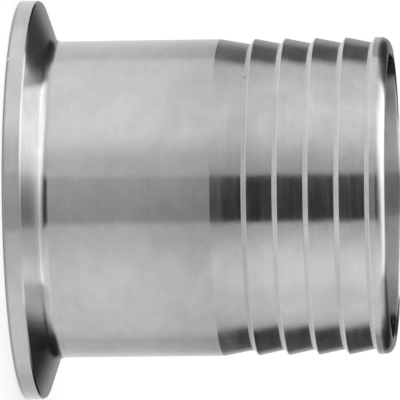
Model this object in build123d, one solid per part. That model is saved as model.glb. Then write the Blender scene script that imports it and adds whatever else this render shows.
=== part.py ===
from build123d import *
import os
from math import radians, tan

# Sanitary clamp ferrule with a barbed hose shank, turned as one piece from stainless bar.
# Millimetres. The axis is +Z: the mating face lies in the plane z = 0, the hose mouth points up.

# Tube, 2 inch size
TUBE_OD = 50.8
WALL = 2.5
PLAIN_LENGTH = 32.0  # from the mating face to the first ramp
BORE_EDGE_ROUND = 0.2

# Clamp flange
FLANGE_WIDTH = 6.6  # from the tube out to the rim, which makes it 64.0 across
RIM_THICKNESS = 2.85  # straight rim, up to the sharp corner where the back taper starts
BACK_TAPER = 20.0  # degrees from the plane of the face: the seat of the two-piece clamp
RIM_FACE_ROUND = 0.4
RIM_TAPER_ROUND = 0.5
NECK_FILLET = 1.8

# Gasket groove in the mating face, a shallow ring of round section
GROOVE_INSET = 3.85  # from the rim in to the middle of the groove
GROOVE_RADIUS = 2.35
GROOVE_DEPTH = 1.6
GROOVE_LIP_ROUND = 0.25

# Hose barbs: ramps that fall towards the mouth, each ended by a steep step up to the next crest
BARB_COUNT = 5
BARB_PITCH = 4.85
BARB_DEPTH = 0.88
BARB_STEP = 0.9  # axial run of a steep step
BARB_CREST_ROUND = 0.12
BARB_ROOT_ROUND = 0.12

# Nose, the last crest and the rounded lead-in of the hose mouth
NOSE_STEP = 0.75
NOSE_LAND = 0.75
NOSE_ROUND = 1.55

tube_r = TUBE_OD / 2
bore_r = tube_r - WALL
flange_r = tube_r + FLANGE_WIDTH
groove_r = flange_r - GROOVE_INSET
root_r = tube_r - BARB_DEPTH
neck_z = RIM_THICKNESS + FLANGE_WIDTH * tan(radians(BACK_TAPER))
last_root_z = PLAIN_LENGTH + BARB_COUNT * BARB_PITCH
mouth_z = last_root_z + NOSE_STEP + NOSE_LAND + NOSE_ROUND


def flange_corners():
    """Rim and back taper, as (radius, height, round) from the mating face up to the tube."""
    return [
        (flange_r, 0, RIM_FACE_ROUND),
        (flange_r, RIM_THICKNESS, RIM_TAPER_ROUND),
        (tube_r, neck_z, NECK_FILLET),
    ]


def barb_corners():
    """Ramps and steps, from the end of the plain tube up to the last crest."""
    corners = [(tube_r, PLAIN_LENGTH, 0)]
    for barb in range(1, BARB_COUNT + 1):
        root_z = PLAIN_LENGTH + barb * BARB_PITCH
        step = NOSE_STEP if barb == BARB_COUNT else BARB_STEP
        corners.append((root_r, root_z, BARB_ROOT_ROUND))
        corners.append((tube_r, root_z + step, BARB_CREST_ROUND))
    return corners


def mouth_corners():
    """Rounded nose, then the bore's two edges, back down to the mating face."""
    return [
        (tube_r, mouth_z, NOSE_ROUND),
        (bore_r, mouth_z, BORE_EDGE_ROUND),
        (bore_r, 0, BORE_EDGE_ROUND),
    ]


corners = flange_corners() + barb_corners() + mouth_corners()

with BuildPart() as ferrule:
    with BuildSketch(Plane.XZ) as section:
        with BuildLine():
            FilletPolyline(
                *[(radius, height) for radius, height, _ in corners],
                radius=[rounding for _, _, rounding in corners],
                close=True,
            )
        make_face()
        with Locations((groove_r, GROOVE_DEPTH - GROOVE_RADIUS)):
            Circle(GROOVE_RADIUS, mode=Mode.SUBTRACT)
        mating_line = section.vertices().group_by(Axis.Y)[0]
        groove_lips = mating_line.sort_by(Axis.X)[1:-1]
        fillet(groove_lips, GROOVE_LIP_ROUND)
    revolve(axis=Axis.Z)

os.makedirs("parts", exist_ok=True)
export_step(ferrule.part, "parts/ferrule.step")
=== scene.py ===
from math import asin, atan2, cos, degrees, hypot, pi, radians, sin, sqrt, tan

import bpy
from mathutils import Matrix, Vector


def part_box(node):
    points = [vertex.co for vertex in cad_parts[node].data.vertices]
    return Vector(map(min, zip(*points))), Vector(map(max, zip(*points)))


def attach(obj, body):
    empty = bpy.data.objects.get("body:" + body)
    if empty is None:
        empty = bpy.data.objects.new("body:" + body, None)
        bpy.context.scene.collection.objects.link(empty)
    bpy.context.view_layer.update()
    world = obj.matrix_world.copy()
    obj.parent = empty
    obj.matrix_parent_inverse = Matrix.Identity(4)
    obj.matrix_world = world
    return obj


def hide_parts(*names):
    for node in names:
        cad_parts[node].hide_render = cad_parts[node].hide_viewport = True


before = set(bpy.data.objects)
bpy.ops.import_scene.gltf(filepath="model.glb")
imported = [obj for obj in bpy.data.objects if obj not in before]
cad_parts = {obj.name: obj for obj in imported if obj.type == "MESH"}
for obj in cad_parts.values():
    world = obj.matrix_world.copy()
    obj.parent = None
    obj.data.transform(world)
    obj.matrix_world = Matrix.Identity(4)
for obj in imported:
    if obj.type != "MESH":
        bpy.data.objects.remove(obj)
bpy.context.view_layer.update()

# A sanitary clamp ferrule with a barbed hose end. It stands on its mating face, with its axis on +Z.
# One lathe mesh stands for the CAD solid, with the same section and softer edges.

# ---------------------------------------------------------------- sizes of the ferrule, in millimetres
MM = 0.001  # metres in a millimetre
ferrule_low, ferrule_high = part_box("ferrule")
FLANGE_R = (ferrule_high.y - ferrule_low.y) / 2 / MM
MOUTH_Z = ferrule_high.z / MM
TUBE_R = 25.4
BORE_R = 22.9
PLAIN_LENGTH = 32.0  # from the mating face to the first ramp

# clamp flange; its back corner has a small break
RIM_THICKNESS = 2.85
BACK_TAPER = radians(20)
RIM_FACE_ROUND = 0.4
EDGE_BREAK_R = 0.18
EDGE_BREAK_Z = 0.13
EDGE_BREAK_LIFT = 0.07
EDGE_BREAK_ROUND = 0.06
NECK_FILLET = 1.8

# barbs; each root sits a little nearer the mouth than the ramp's plain length would put it
BARB_COUNT = 5
BARB_PITCH = 4.85
BARB_DEPTH = 0.88
BARB_STEP = 0.75
ROOT_ROUND = 0.3
ROOT_SHIFT = 0.10
CREST_ROUND = 0.22

# nose and mouth; the last land falls a little towards the mouth
NOSE_STEP = 0.62
NOSE_ROUND = 1.55
LAND_TAPER = 0.08
MOUTH_EDGE_ROUND = 0.35
FACE_EDGE_ROUND = 0.2

# gasket groove in the mating face
GROOVE_R = 28.15
GROOVE_RADIUS = 2.35
GROOVE_DEPTH = 1.6
LIP_ROUND = 0.25

# fineness of the mesh
SEGMENTS = 256
SMALL_ROUND = 1.0  # rounds below this radius count as edges, and take fewer rows
SMALL_ROUND_ROW = 8.0  # degrees of a round between two rows
LARGE_ROUND_ROW = 3.5
LEAST_ROUND_ROWS = 6
CREASE = 0.02  # from a sharp corner to each of its two rows


# ---------------------------------------------------------------- the turned profile
class Profile:
    """Rows of the lathe mesh: radius, height, angle of the normal, and edge (+1 proud, -1 hollow)."""

    def __init__(self):
        self.rows = []

    def add(self, r, z, angle, edge=0.0):
        self.rows.append((r, z, angle, edge))

    def line(self, start, end, steps):
        """Rows strictly between two points, with the normal on the right of the way."""
        angle = atan2(start[0] - end[0], end[1] - start[1])
        for i in range(1, steps):
            t = i / steps
            self.add(start[0] + (end[0] - start[0]) * t, start[1] + (end[1] - start[1]) * t, angle)

    def arc(self, centre, radius, first, last, steps):
        """Rows of a round. The normal turns from first to last; it turns back where the round is hollow."""
        side = 1 if last > first else -1
        for i in range(steps + 1):
            angle = first + (last - first) * i / steps
            r = centre[0] + side * radius * cos(angle)
            z = centre[1] + side * radius * sin(angle)
            self.add(r, z, angle, side * sin(pi * i / steps) if radius < SMALL_ROUND else 0.0)

    def corner(self, z, bend):
        """Rows of one corner of the outline: an arc, or two rows close together where it is sharp."""
        if bend.rounding:
            row = LARGE_ROUND_ROW if bend.rounding > SMALL_ROUND else SMALL_ROUND_ROW
            steps = max(LEAST_ROUND_ROWS, round(abs(degrees(bend.last - bend.first)) / row))
            self.arc(bend.centre, bend.rounding, bend.first, bend.last, steps)
        else:
            self.add(bend.enters[0], z - CREASE, bend.first)
            self.add(bend.enters[0], z + CREASE, bend.last)


class Bend:
    """One rounded corner: where its arc starts, ends and has its centre, and the normals at both ends."""

    def __init__(self, before, corner, after):
        r, z, self.rounding, _ = corner
        come = Vector((r - before[0], z - before[1])).normalized()
        leave = Vector((after[0] - r, after[1] - z)).normalized()
        turn = atan2(come.x * leave.y - come.y * leave.x, come.dot(leave))
        reach = self.rounding * tan(abs(turn) / 2)
        inward = self.rounding * (1 if turn > 0 else -1)
        self.first = atan2(-come.x, come.y)
        self.last = self.first + turn
        self.enters = (r - come.x * reach, z - come.y * reach)
        self.leaves = (r + leave.x * reach, z + leave.y * reach)
        self.centre = (self.enters[0] - come.y * inward, self.enters[1] + come.x * inward)


def outline():
    """Corners from the mating face round to the bore: radius, height, round, rows of the line that follows."""
    neck_z = RIM_THICKNESS + (FLANGE_R - TUBE_R) * tan(BACK_TAPER)
    break_z = RIM_THICKNESS + EDGE_BREAK_R * tan(BACK_TAPER) + EDGE_BREAK_LIFT
    corners = [
        (FLANGE_R, 0, RIM_FACE_ROUND, 4),
        (FLANGE_R, RIM_THICKNESS - EDGE_BREAK_Z, EDGE_BREAK_ROUND, 2),
        (FLANGE_R - EDGE_BREAK_R, break_z, EDGE_BREAK_ROUND, 8),
        (TUBE_R, neck_z, NECK_FILLET, 16),
        (TUBE_R, PLAIN_LENGTH, 0.0, 8),
    ]
    for barb in range(1, BARB_COUNT + 1):
        root_z = PLAIN_LENGTH + barb * BARB_PITCH
        last = barb == BARB_COUNT
        corners.append((TUBE_R - BARB_DEPTH, root_z + ROOT_SHIFT, ROOT_ROUND, 4))
        corners.append((TUBE_R, root_z + (NOSE_STEP if last else BARB_STEP), CREST_ROUND, 3 if last else 8))
    corners.append((TUBE_R - LAND_TAPER, MOUTH_Z, NOSE_ROUND, 3))
    corners.append((BORE_R, MOUTH_Z, MOUTH_EDGE_ROUND, 16))
    corners.append((BORE_R, 0, FACE_EDGE_ROUND, 0))
    return corners


def add_mating_face(profile):
    """The flat face with its round-section groove, from the bore back out to the rim."""
    down = -pi / 2
    groove_z = GROOVE_DEPTH - GROOVE_RADIUS
    lip_to_groove = GROOVE_RADIUS + LIP_ROUND
    lip_reach = sqrt(lip_to_groove ** 2 - (LIP_ROUND - groove_z) ** 2)
    tilt = asin((LIP_ROUND - groove_z) / lip_to_groove)
    inner_lip = (GROOVE_R - lip_reach, LIP_ROUND)
    outer_lip = (GROOVE_R + lip_reach, LIP_ROUND)
    profile.line((BORE_R + FACE_EDGE_ROUND, 0), (inner_lip[0], 0), 4)
    profile.arc(inner_lip, LIP_ROUND, down, -tilt, 8)
    profile.arc((GROOVE_R, groove_z), GROOVE_RADIUS, -tilt, -pi + tilt, 28)
    profile.arc(outer_lip, LIP_ROUND, -pi + tilt, down, 8)
    profile.line((outer_lip[0], 0), (FLANGE_R - RIM_FACE_ROUND, 0), 4)


def trace():
    """All rows of the closed profile, once round."""
    corners = outline()
    count = len(corners)
    bends = [Bend(corners[i - 1], corners[i], corners[(i + 1) % count]) for i in range(count)]
    profile = Profile()
    for i, (_, z, _, steps) in enumerate(corners):
        profile.corner(z, bends[i])
        if i < count - 1:
            profile.line(bends[i].leaves, bends[i + 1].enters, steps)
    add_mating_face(profile)
    return profile.rows


def make_ferrule():
    """The profile turned round the axis, with exact normals and the way along the profile as an attribute."""
    rows = trace()
    along = [0.0]
    for before, row in zip(rows, rows[1:]):
        along.append(along[-1] + hypot(row[0] - before[0], row[1] - before[1]))
    verts, normals = [], []
    for r, z, angle, _ in rows:
        for k in range(SEGMENTS):
            a = 2 * pi * k / SEGMENTS
            verts.append((r * MM * cos(a), r * MM * sin(a), z * MM))
            normals.append((cos(angle) * cos(a), cos(angle) * sin(a), sin(angle)))
    faces = []
    for i in range(len(rows)):
        j = (i + 1) % len(rows)
        for k in range(SEGMENTS):
            n = (k + 1) % SEGMENTS
            faces.append((i * SEGMENTS + k, i * SEGMENTS + n, j * SEGMENTS + n, j * SEGMENTS + k))
    mesh = bpy.data.meshes.new("ferrule_turned")
    mesh.from_pydata(verts, [], faces)
    mesh.validate()
    mesh.polygons.foreach_set("use_smooth", [True] * len(mesh.polygons))
    for name, values in (("along", along), ("edge", [row[3] for row in rows])):
        attribute = mesh.attributes.new(name, "FLOAT", "POINT")
        attribute.data.foreach_set("value", [v for v in values for _ in range(SEGMENTS)])
    mesh.normals_split_custom_set_from_vertices(normals)
    mesh.update()
    return mesh


# ---------------------------------------------------------------- node helpers
def is_socket(value):
    return isinstance(value, bpy.types.NodeSocket)


class Nodes:
    """Builds shader maths from Python: every method but new, put and link returns an output socket."""

    def __init__(self, tree):
        self.tree = tree

    def new(self, kind, **settings):
        node = self.tree.nodes.new(kind)
        for name, value in settings.items():
            setattr(node, name, value)
        return node

    def link(self, output, socket):
        self.tree.links.new(output, socket)

    def put(self, socket, value):
        if is_socket(value):
            self.link(value, socket)
        else:
            socket.default_value = value

    def math(self, operation, a, b=None):
        node = self.new("ShaderNodeMath", operation=operation)
        self.put(node.inputs[0], a)
        if b is not None:
            self.put(node.inputs[1], b)
        return node.outputs[0]

    def add(self, a, b):
        return self.math("ADD", a, b)

    def sub(self, a, b):
        return self.math("SUBTRACT", a, b)

    def mul(self, a, b):
        return self.math("MULTIPLY", a, b)

    def mix(self, a, b, share):
        node = self.new("ShaderNodeMix", data_type="FLOAT")
        self.put(node.inputs[0], share)
        self.put(node.inputs[2], a)
        self.put(node.inputs[3], b)
        return node.outputs[0]

    def step(self, x, low, high):
        """Smooth step of x from 0 at low to 1 at high."""
        if not is_socket(low) and not is_socket(high) and low > high:
            return self.sub(1.0, self.step(x, high, low))
        node = self.new("ShaderNodeMapRange", interpolation_type="SMOOTHSTEP")
        self.put(node.inputs["Value"], x)
        self.put(node.inputs["From Min"], low)
        self.put(node.inputs["From Max"], high)
        return node.outputs[0]

    def ramp(self, x, start, end):
        """Smooth change between two pairs of a place on x and the value there."""
        return self.mix(start[1], end[1], self.step(x, start[0], end[0]))

    def swing(self, noise, span):
        """A noise about zero instead of about a half, and span times as wide."""
        return self.mul(self.sub(noise, 0.5), span)

    def lower(self, value, share, depth):
        """The value less the part depth of it where share is 1."""
        return self.mul(value, self.sub(1.0, self.mul(share, depth)))

    def position(self, scale):
        """Object coordinates times scale, as three sockets."""
        split = self.new("ShaderNodeSeparateXYZ")
        self.link(self.new("ShaderNodeTexCoord").outputs["Object"], split.inputs[0])
        return tuple(self.mul(split.outputs[i], scale) for i in range(3))

    def attribute(self, name):
        return self.new("ShaderNodeAttribute", attribute_name=name).outputs["Fac"]

    def vector(self, parts):
        node = self.new("ShaderNodeCombineXYZ")
        for socket, value in zip(node.inputs, parts):
            self.put(socket, value)
        return node.outputs[0]

    def noise(self, parts, detail=2.0, roughness=0.5, distortion=0.0):
        node = self.new("ShaderNodeTexNoise")
        self.link(self.vector(parts), node.inputs["Vector"])
        node.inputs["Scale"].default_value = 1.0
        node.inputs["Detail"].default_value = detail
        node.inputs["Roughness"].default_value = roughness
        node.inputs["Distortion"].default_value = distortion
        return node.outputs[0]

    def spot(self, place, angle, r, z, size):
        """1 at a point of the surface, fading to 0 at size from it. The angle is from the front towards -X."""
        apart = self.new("ShaderNodeVectorMath", operation="DISTANCE")
        self.link(self.vector(place), apart.inputs[0])
        apart.inputs[1].default_value = (-r * sin(angle), -r * cos(angle), z)
        return self.step(apart.outputs["Value"], size, size * 0.4)


# ---------------------------------------------------------------- the studio that the metal reflects
STUDIO_LEVEL = 0.728
NADIR_START, NADIR_END = -0.35, -0.8  # height of the direction where the table takes its level at the foot
BOX_FADE = 24.0  # degrees over which the softbox comes up from its front edge
REAR_FADE = 2.0  # and half of those over which it ends at the rear


class Direction:
    """A direction in the studio, as sockets. Angles are in degrees.

    beta turns from the plane of the front and the axis towards -X, which the camera sees as up.
    phi turns about X: 0 is ahead (-Y), 90 overhead, 180 behind, and it is negative below the horizon.
    left is 1 on the -X side and 0 on the +X side, and off is how far to either side.
    """

    def __init__(self, n):
        split = n.new("ShaderNodeSeparateXYZ")
        n.link(n.new("ShaderNodeTexCoord").outputs["Generated"], split.inputs[0])
        self.front = n.mul(split.outputs[1], -1.0)
        self.up = split.outputs[2]
        self.beta = n.mul(n.math("ARCSINE", n.mul(split.outputs[0], -1.0)), 180 / pi)
        self.phi = n.mul(n.math("ARCTAN2", self.up, self.front), 180 / pi)
        self.elevation = n.mul(n.math("ARCSINE", self.up), 180 / pi)
        self.off = n.math("ABSOLUTE", self.beta)
        self.left = n.step(self.beta, -12.0, 12.0)


# In these functions a pair is an angle and the level of light there.
def make_ahead(n, d, beneath):
    """Pale walls on both sides of an opening, which is dark above the horizon and pale below it."""
    walls_above = n.ramp(d.off, (16.0, n.mix(0.53, 0.44, d.left)), (50.0, n.mix(0.94, 0.78, d.left)))
    walls_left = n.ramp(d.beta, (26.0, 0.65), (48.0, 0.96))
    walls_right = n.ramp(d.beta, (-20.0, 0.61), (-60.0, 0.76))
    walls_below = n.mix(walls_right, walls_left, d.left)
    walls = n.ramp(d.phi, (-2.0, walls_below), (6.0, walls_above))
    gap_below = n.ramp(d.beta, (-15.0, 0.70), (12.0, 0.86))
    gap = n.ramp(d.phi, (-14.0, gap_below), (4.0, 0.012))
    gap_middle = -1.2
    from_gap = n.math("ABSOLUTE", n.sub(d.beta, gap_middle))
    ahead = n.ramp(from_gap, (15.2, gap), (18.2, walls))
    return n.ramp(d.up, (NADIR_START, ahead), (NADIR_END, beneath))


def make_horizon(n, d):
    """The level at the table's far edge: a glow in the middle, which falls off to both sides."""
    fade_side = n.mix(15.0, 24.0, d.left)
    fade_width = 15.0
    return n.ramp(d.off, (fade_side, 0.40), (n.add(fade_side, fade_width), n.mix(0.05, 0.16, d.left)))


def make_table(n, d, horizon, beneath):
    """The table behind, which fades out towards the horizon except at the far sides."""
    table_left = n.ramp(d.off, (53.0, n.ramp(d.off, (8.0, 0.96), (42.0, 0.94))), (59.0, 0.95))
    table_right = n.ramp(d.off, (12.0, 0.93), (42.0, 0.77))
    table = n.mix(table_right, table_left, d.left)
    far_edge = n.ramp(d.off, (56.0, horizon), (60.0, table))
    table = n.ramp(d.elevation, (-4.6, table), (-0.9, far_edge))
    return n.ramp(d.up, (NADIR_START, table), (NADIR_END, beneath))


def make_behind(n, d, horizon):
    """Above the table: a faint glow on the horizon, then a dark room between pale walls at the sides."""
    dark_left = n.ramp(d.off, (12.0, 0.060), (22.0, 0.028))
    dark_left = n.add(dark_left, n.ramp(d.off, (36.0, 0.0), (50.0, 0.03)))
    dark = n.mix(0.012, dark_left, d.left)
    # the pairs of the glow's foot and top hold elevations in place of levels
    glow_foot = n.ramp(d.off, (12.0, 3.0), (24.0, 1.8))
    glow_top_left = n.ramp(d.off, (12.0, 20.0), (24.0, 6.5))
    glow_top_right = n.ramp(d.off, (14.0, 25.0), (26.0, 10.0))
    glow_top = n.mix(glow_top_right, glow_top_left, d.left)
    room = n.ramp(d.elevation, (glow_foot, horizon), (glow_top, dark))
    wall_start = n.mix(60.0, 56.0, d.left)
    wall_fade = 10.0
    room = n.ramp(d.off, (wall_start, room), (n.add(wall_start, wall_fade), 0.76))
    least_high_up = 0.28
    high_up = n.ramp(d.phi, (118.0, n.math("MAXIMUM", room, least_high_up)), (150.0, room))
    room = n.ramp(d.off, (30.0, room), (44.0, high_up))
    side_wall = n.ramp(d.off, (55.0, n.ramp(d.off, (20.0, 0.22), (38.0, 0.66))), (68.0, 0.82))
    behind_right = n.ramp(d.phi, (110.0, side_wall), (130.0, room))
    return n.mix(behind_right, room, d.left)


def rear_edge(n, d):
    """The angle phi at which the softbox ends. It comes forward towards both sides."""
    edge_left = n.add(110.2, n.mul(56.4, n.math("EXPONENT", n.mul(d.off, -1 / 22.0))))
    edge_right = n.sub(146.0, n.mul(d.off, 1.47))
    return n.mix(edge_right, edge_left, d.left)


def box_level(n, d):
    """The softbox's own level: brightest overhead, and on the left."""
    level_left = n.ramp(d.beta, (0.0, 0.62), (27.0, 1.74))
    level_right = n.ramp(d.beta, (-3.0, 0.52), (-28.0, 0.64))
    level_right = n.add(level_right, n.ramp(d.beta, (-26.0, 0.0), (-37.0, 0.34)))
    level = n.ramp(d.beta, (-4.0, level_right), (-3.0, level_left))
    glare_start = n.mix(77.0, 63.0, d.left)
    glare = n.mul(n.step(d.phi, glare_start, n.add(glare_start, BOX_FADE)), n.step(d.beta, -42.0, -30.0))
    level = n.mix(level, 1.50, glare)
    centre = n.mul(n.step(d.beta, 0.0, 9.0), n.step(d.beta, 46.0, 16.0))
    return n.add(level, n.mul(n.mul(centre, n.step(d.phi, 84.0, 112.0)), 0.5))


def make_sky(n, d, ahead, behind):
    """What is above the horizon: the softbox overhead, between what is ahead and what is behind."""
    past_rear = n.sub(d.phi, rear_edge(n, d))
    front_edge = n.mix(41.0, 36.0, d.left)
    lengthways = n.step(d.phi, front_edge, n.add(front_edge, BOX_FADE))
    lengthways = n.mul(lengthways, n.step(past_rear, REAR_FADE, -REAR_FADE))
    sideways = n.mul(n.step(d.beta, 74.0, 39.0), n.step(d.beta, -47.0, -36.0))
    sky = n.ramp(past_rear, (-REAR_FADE, ahead), (REAR_FADE, behind))
    return n.mix(sky, box_level(n, d), n.mul(lengthways, sideways))


def studio(world):
    """Softbox above, pale table below, pale walls, and dark openings in front and behind. The camera sees white."""
    world.use_nodes = True
    tree = world.node_tree
    tree.nodes.clear()
    n = Nodes(tree)
    d = Direction(n)
    beneath = n.ramp(d.off, (4.0, 0.92), (20.0, 1.13))
    horizon = make_horizon(n, d)
    ahead = make_ahead(n, d, beneath)
    table = make_table(n, d, horizon, beneath)
    sky = make_sky(n, d, ahead, make_behind(n, d, horizon))
    ground = n.ramp(d.front, (0.2, ahead), (-0.2, table))
    surroundings = n.mul(n.ramp(d.up, (-0.001, ground), (0.001, sky)), STUDIO_LEVEL)

    seen = n.mix(surroundings, 1.0, n.new("ShaderNodeLightPath").outputs["Is Camera Ray"])
    background = n.new("ShaderNodeBackground")
    background.inputs["Color"].default_value = (1, 1, 1, 1)
    n.link(seen, background.inputs["Strength"])
    n.link(background.outputs[0], n.new("ShaderNodeOutputWorld").inputs[0])


# ---------------------------------------------------------------- materials
TONE = 0.86
ROUGHNESS = 0.200
ANISOTROPY = 0.94
MICROMETRE = 1e-6
PIT = {"angle": radians(50.2), "r": 24.62, "z": 37.1, "size": 0.42}  # on the first barb
NICK = {"angle": radians(44), "r": FLANGE_R - 0.05, "z": 0.22, "size": 0.42}  # in the rim's face corner
FLOOR_GREY = 0.81
FLOOR_GLOW = 0.5  # what the camera sees on top of the lit floor, which brings it up to white


class Surface:
    """Places, zones and patterns of the metal that tone, roughness and relief share. All lengths in mm."""

    def __init__(self, n):
        self.n = n
        self.place = x, y, self.z = n.position(1 / MM)
        self.r = n.math("SQRT", n.add(n.mul(x, x), n.mul(y, y)))
        self.round = n.math("DIVIDE", x, self.r), n.math("DIVIDE", y, self.r)
        self.along = n.attribute("along")
        self.edge = n.attribute("edge")
        self.inside = n.step(self.r, BORE_R + 0.3, BORE_R)
        self.barbs = n.math("MAXIMUM", n.step(self.z, PLAIN_LENGTH - 0.4, PLAIN_LENGTH + 1.6), self.inside)

        # turning lines run round the axis; clouds and patches are what polishing leaves
        self.fine = self.turned(1.6, 1.9, detail=3.0, roughness=0.6)
        self.coarse = self.turned(2.2, 0.6)
        self.lines = self.turned(1.7, 0.75, shift=40.0, detail=3.0, roughness=0.6)
        self.smear = self.turned(7.0, 0.30, detail=3.0, roughness=0.6)
        cloud_place = (n.mul(x, 0.11), n.mul(y, 0.11), n.mul(self.z, 0.15))
        self.cloud = n.noise(cloud_place, detail=5.0, roughness=0.62, distortion=0.8)
        self.patch = n.noise((n.add(n.mul(x, 0.045), 7.0), n.mul(y, 0.045), n.mul(self.z, 0.06)))

        # hairline scratches, on parts of the surface only
        thread = self.turned(4.0, 0.20, detail=0.0)
        hairline = n.step(n.math("ABSOLUTE", n.sub(thread, 0.5)), 0.0022, 0.0004)
        self.scratch = n.mul(hairline, n.step(self.patch, 0.50, 0.62))

    def turned(self, rate_round, rate_along, shift=None, **settings):
        """A noise by the direction round the axis and the way along the profile, each at its own rate."""
        n = self.n
        way = n.mul(self.along, rate_along)
        if shift is not None:
            way = n.add(way, shift)
        return n.noise((n.mul(self.round[0], rate_round), n.mul(self.round[1], rate_round), way), **settings)


def metal_tone(n, on):
    """How bright the metal is: cloudy, duller before the barbs, with painted shade in the hollow roots and in the
    corner where the rim meets the floor, and a few marks.
    """
    tone = TONE
    fine_span = n.mix(0.05, 0.09, on.barbs)
    for pattern, span in ((on.cloud, 0.30), (on.patch, 0.09), (on.smear, 0.12), (on.fine, fine_span)):
        tone = n.add(tone, n.swing(pattern, span))
    dulled = n.mul(n.step(on.z, 17.0, 31.0), n.step(on.z, 44.0, 35.0))
    # painted shade in the hollow roots of the barbs: the tone falls where the edge attribute marks a hollow round
    root = n.math("MAXIMUM", n.mul(on.edge, -1.0), 0.0)
    # painted shade in the corner where the mating face meets the rim, standing in for the shadow where the ferrule
    # meets the floor
    foot_shade = n.mul(n.step(on.z, 0.60, 0.06), n.step(on.r, FLANGE_R - 0.5, FLANGE_R - 0.3))
    pit = n.spot(on.place, **PIT)
    for share, depth in ((dulled, 0.13), (root, 0.16), (on.scratch, 0.12), (foot_shade, 0.64), (pit, 0.50)):
        tone = n.lower(tone, share, depth)
    return n.add(tone, n.mul(n.spot(on.place, **NICK), 0.34))


def metal_roughness(n, on):
    """How the polish varies. The bore is smoother where it is seen at a low angle."""
    rough = ROUGHNESS
    lines_span = n.mix(0.05, 0.12, on.barbs)
    for pattern, span in ((on.cloud, 0.07), (on.coarse, 0.05), (on.lines, lines_span)):
        rough = n.add(rough, n.swing(pattern, span))
    first_barb = n.step(on.z, PLAIN_LENGTH - 0.2, PLAIN_LENGTH + 0.3)
    first_barb = n.mul(first_barb, n.step(on.z, PLAIN_LENGTH + 3.6, PLAIN_LENGTH + 0.8))
    nose = n.mul(n.step(on.z, 57.6, 58.4), n.sub(1.0, on.inside))
    edges = n.math("ABSOLUTE", on.edge)
    for share, rise in ((first_barb, 0.06), (edges, 0.05), (on.scratch, 0.08), (nose, 0.06)):
        rough = n.add(rough, n.mul(share, rise))
    grazing = n.step(n.new("ShaderNodeLayerWeight").outputs["Facing"], 0.34, 0.50)
    return n.lower(rough, n.mul(grazing, on.inside), 0.6)


def metal_relief(n, on):
    """Turning lines, a slow waviness and scratches, in micrometres. Everything is deeper on the barbs."""
    relief = n.swing(on.fine, n.mix(1.6, 4.0, on.barbs))
    relief = n.add(relief, n.swing(on.coarse, n.mix(4.0, 9.0, on.barbs)))
    relief = n.add(relief, n.swing(on.smear, n.mix(5.0, 16.0, on.barbs)))
    return n.sub(relief, n.mul(on.scratch, 1.5))


def stainless():
    """Turned and lightly polished stainless steel, anisotropic across the turning lines."""
    material = bpy.data.materials.new("stainless_turned")
    material.use_nodes = True
    n = Nodes(material.node_tree)
    shader = material.node_tree.nodes["Principled BSDF"]
    shader.inputs["Metallic"].default_value = 1.0
    shader.inputs["Anisotropic"].default_value = ANISOTROPY
    shader.inputs["Anisotropic Rotation"].default_value = 0.25
    tangent = n.new("ShaderNodeTangent", direction_type="RADIAL", axis="Z")
    n.link(tangent.outputs[0], shader.inputs["Tangent"])

    on = Surface(n)
    tone = metal_tone(n, on)
    colour = n.new("ShaderNodeCombineColor")
    for channel in ("Red", "Green", "Blue"):
        n.link(tone, colour.inputs[channel])
    n.link(colour.outputs[0], shader.inputs["Base Color"])
    n.link(metal_roughness(n, on), shader.inputs["Roughness"])

    bump = n.new("ShaderNodeBump")
    bump.inputs["Strength"].default_value = 1.0
    bump.inputs["Distance"].default_value = 1.0
    n.link(n.mul(metal_relief(n, on), MICROMETRE), bump.inputs["Height"])
    n.link(bump.outputs[0], shader.inputs["Normal"])
    return material


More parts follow.
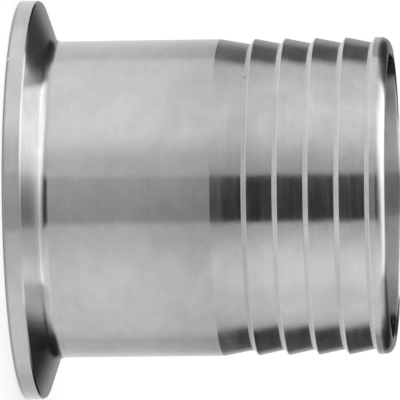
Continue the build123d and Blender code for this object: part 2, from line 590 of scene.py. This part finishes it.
def floor_paint():
    """Matt white that keeps the object's shadow, and lets a view from below through."""
    material = bpy.data.materials.new("floor_white")
    material.use_nodes = True
    tree = material.node_tree
    tree.nodes.clear()
    n = Nodes(tree)
    diffuse = n.new("ShaderNodeBsdfDiffuse")
    diffuse.inputs["Color"].default_value = (FLOOR_GREY, FLOOR_GREY, FLOOR_GREY, 1)
    glow = n.new("ShaderNodeEmission")
    n.link(n.mul(n.new("ShaderNodeLightPath").outputs["Is Camera Ray"], FLOOR_GLOW), glow.inputs["Strength"])
    both = n.new("ShaderNodeAddShader")
    n.link(diffuse.outputs[0], both.inputs[0])
    n.link(glow.outputs[0], both.inputs[1])
    sides = n.new("ShaderNodeMixShader")
    n.link(n.new("ShaderNodeNewGeometry").outputs["Backfacing"], sides.inputs[0])
    n.link(both.outputs[0], sides.inputs[1])
    n.link(n.new("ShaderNodeBsdfTransparent").outputs[0], sides.inputs[2])
    n.link(sides.outputs[0], n.new("ShaderNodeOutputMaterial").inputs[0])
    return material


# ---------------------------------------------------------------- the piece
ferrule = bpy.data.objects.new("ferrule_turned", make_ferrule())
bpy.context.scene.collection.objects.link(ferrule)
ferrule.data.materials.append(stainless())
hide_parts("ferrule")
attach(ferrule, "root")

# ---------------------------------------------------------------- stage, light and camera
world = bpy.data.worlds.new("studio")
bpy.context.scene.world = world
studio(world)

FLOOR = 8.0  # metres from the middle to each side
floor_corners = [(-FLOOR, -FLOOR, 0), (FLOOR, -FLOOR, 0), (FLOOR, FLOOR, 0), (-FLOOR, FLOOR, 0)]
floor_mesh = bpy.data.meshes.new("floor")
floor_mesh.from_pydata(floor_corners, [], [(0, 1, 2, 3)])
floor = bpy.data.objects.new("floor", floor_mesh)
bpy.context.scene.collection.objects.link(floor)
floor.data.materials.append(floor_paint())
floor.visible_glossy = False

# The ferrule stands, and the photograph shows it lying with its mouth to the right: the camera is on its side.
CAMERA_DISTANCE = 1.040
CAMERA_ELEVATION = radians(4.98)
CAMERA_ROLL = radians(0.731)
CAMERA_LENS = 583.2  # on the default 36 mm sensor
AIM = Vector((0.00036, -0.00015, 0.02831))
towards = Vector((0, -cos(CAMERA_ELEVATION), sin(CAMERA_ELEVATION)))
along_axis = Vector((0, sin(CAMERA_ELEVATION), cos(CAMERA_ELEVATION)))
across = Vector((-1, 0, 0))
right = along_axis * cos(CAMERA_ROLL) - across * sin(CAMERA_ROLL)
above = across * cos(CAMERA_ROLL) + along_axis * sin(CAMERA_ROLL)
facing = Matrix((right, above, towards)).transposed().to_4x4()
camera = bpy.data.objects.new("camera", bpy.data.cameras.new("camera"))
bpy.context.scene.collection.objects.link(camera)
camera.data.lens = CAMERA_LENS
camera.matrix_world = Matrix.Translation(AIM + towards * CAMERA_DISTANCE) @ facing
bpy.context.scene.camera = camera
bpy.context.scene.view_settings.view_transform = "Standard"
